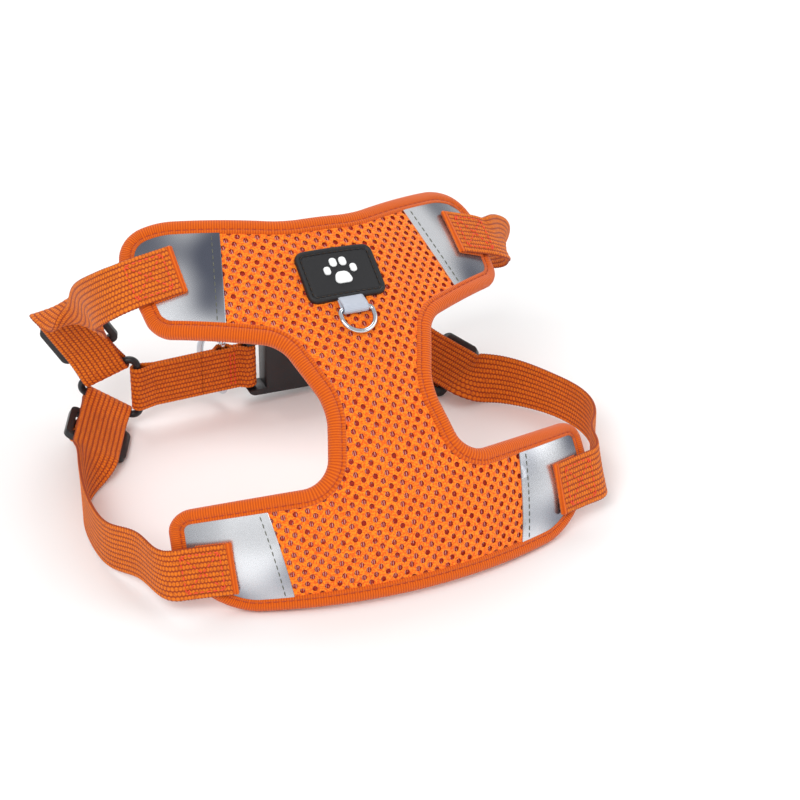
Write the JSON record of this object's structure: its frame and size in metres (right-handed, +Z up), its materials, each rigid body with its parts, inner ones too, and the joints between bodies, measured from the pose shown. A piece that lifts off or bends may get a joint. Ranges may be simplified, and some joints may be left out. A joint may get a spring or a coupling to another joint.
{
  "type": "no pull dog harness",
  "caption": "Small-dog no pull harness: padded orange mesh chest panel with webbing straps, sliders, triangle rings, side-release buckle and metal lead rings.",
  "frame": {"origin": "on the surface the harness stands on, below the middle of its bounding box", "axes": "+X across the chest towards the plug half of the buckle's side, +Y from the chest panel to the back strap, +Z up"},
  "size_m": [0.2077, 0.172, 0.1159],
  "materials": {
    "orange_mesh": "open air mesh",
    "orange_lining": "smooth knit",
    "foam": "soft foam",
    "orange_binding": "ribbed tape",
    "orange_webbing": "woven webbing",
    "silver_film": "glossy reflective film",
    "black_pvc": "matt soft moulding",
    "white_pvc": "matt soft moulding",
    "grey_ribbon": "satin ribbon",
    "chrome_ring": "polished",
    "black_plastic": "moulded"
  },
  "bodies": {
    "panel_and_straps": {"inner_lining": "orange_lining", "foam_core": "foam", "mesh_face_panel": "orange_mesh", "edge_binding": "orange_binding", "reflective_patch_top_left": "silver_film", "reflective_patch_top_right": "silver_film", "reflective_patch_bottom_left": "silver_film", "reflective_patch_bottom_right": "silver_film", "label_plate": "black_pvc", "label_rim": "black_pvc", "paw_pad": "white_pvc", "paw_toe_1": "white_pvc", "paw_toe_2": "white_pvc", "paw_toe_3": "white_pvc", "paw_toe_4": "white_pvc", "ring_tape": "grey_ribbon", "strap_top_left": "orange_webbing", "strap_top_right": "orange_webbing", "strap_bottom_left": "orange_webbing", "strap_bottom_right": "orange_webbing", "strap_fold_top_left": "orange_webbing", "strap_fold_top_right": "orange_webbing", "strap_fold_bottom_left": "orange_webbing", "strap_fold_bottom_right": "orange_webbing", "triangle_ring_left": "black_plastic", "triangle_ring_right": "black_plastic", "back_strap_right": "orange_webbing", "buckle_plug": "black_plastic"},
    "front_ring": {"front_ring": "chrome_ring"},
    "back_ring": {"back_ring": "chrome_ring"},
    "buckle_socket": {"buckle_socket": "black_plastic", "back_strap_left": "orange_webbing"},
    "prong_lower": {"buckle_prong_lower": "black_plastic"},
    "prong_upper": {"buckle_prong_upper": "black_plastic"},
    "slider_top_left": {"slider_top_left": "black_plastic", "slider_loop_top_left": "orange_webbing"},
    "slider_top_right": {"slider_top_right": "black_plastic", "slider_loop_top_right": "orange_webbing"},
    "slider_bottom_left": {"slider_bottom_left": "black_plastic", "slider_loop_bottom_left": "orange_webbing"},
    "slider_bottom_right": {"slider_bottom_right": "black_plastic", "slider_loop_bottom_right": "orange_webbing"}
  },
  "joints": [
    {"name": "front_ring_swing", "type": "hinge", "parent": "panel_and_straps", "child": "front_ring", "pos_m": [-0.00184, -0.02508, 0.09075], "axis": [0.9964, 0.0475, -0.0696], "range_deg": [-100, 0]},
    {"name": "back_ring_swing", "type": "hinge", "parent": "buckle_socket", "child": "back_ring", "pos_m": [-0.0222, 0.0693, 0.018], "axis": [0, 0, 1], "range_deg": [-50, 60]},
    {"name": "buckle_release", "type": "slide", "parent": "panel_and_straps", "child": "buckle_socket", "axis": [-1, 0, 0], "range_m": [0, 0.02], "deforming": ["back_strap_left"]},
    {"name": "prong_lower_squeeze", "type": "hinge", "parent": "panel_and_straps", "child": "prong_lower", "pos_m": [0.0207, 0.0677, 0.0122], "axis": [0, 1, 0], "range_deg": [0, 7], "stiffness_Nm_per_rad": 0.05},
    {"name": "prong_upper_squeeze", "type": "hinge", "parent": "panel_and_straps", "child": "prong_upper", "pos_m": [0.0207, 0.0677, 0.0238], "axis": [0, 1, 0], "range_deg": [-7, 0], "stiffness_Nm_per_rad": 0.05},
    {"name": "slider_top_left_adjust", "type": "slide", "parent": "panel_and_straps", "child": "slider_top_left", "axis": [-0.5076, 0.0831, 0.8576], "range_m": [0, 0.005]},
    {"name": "slider_top_right_adjust", "type": "slide", "parent": "panel_and_straps", "child": "slider_top_right", "axis": [0.5663, -0.3417, 0.75], "range_m": [0, 0.005]},
    {"name": "slider_bottom_left_adjust", "type": "slide", "parent": "panel_and_straps", "child": "slider_bottom_left", "axis": [-0.4226, -0.9063, 0], "range_m": [0, 0.005]},
    {"name": "slider_bottom_right_adjust", "type": "slide", "parent": "panel_and_straps", "child": "slider_bottom_right", "axis": [0.309, -0.9511, 0], "range_m": [0, 0.005]}
  ],
  "couplings": [
    {"joint": "prong_upper_squeeze", "follows": "prong_lower_squeeze", "ratio": -1}
  ]
}
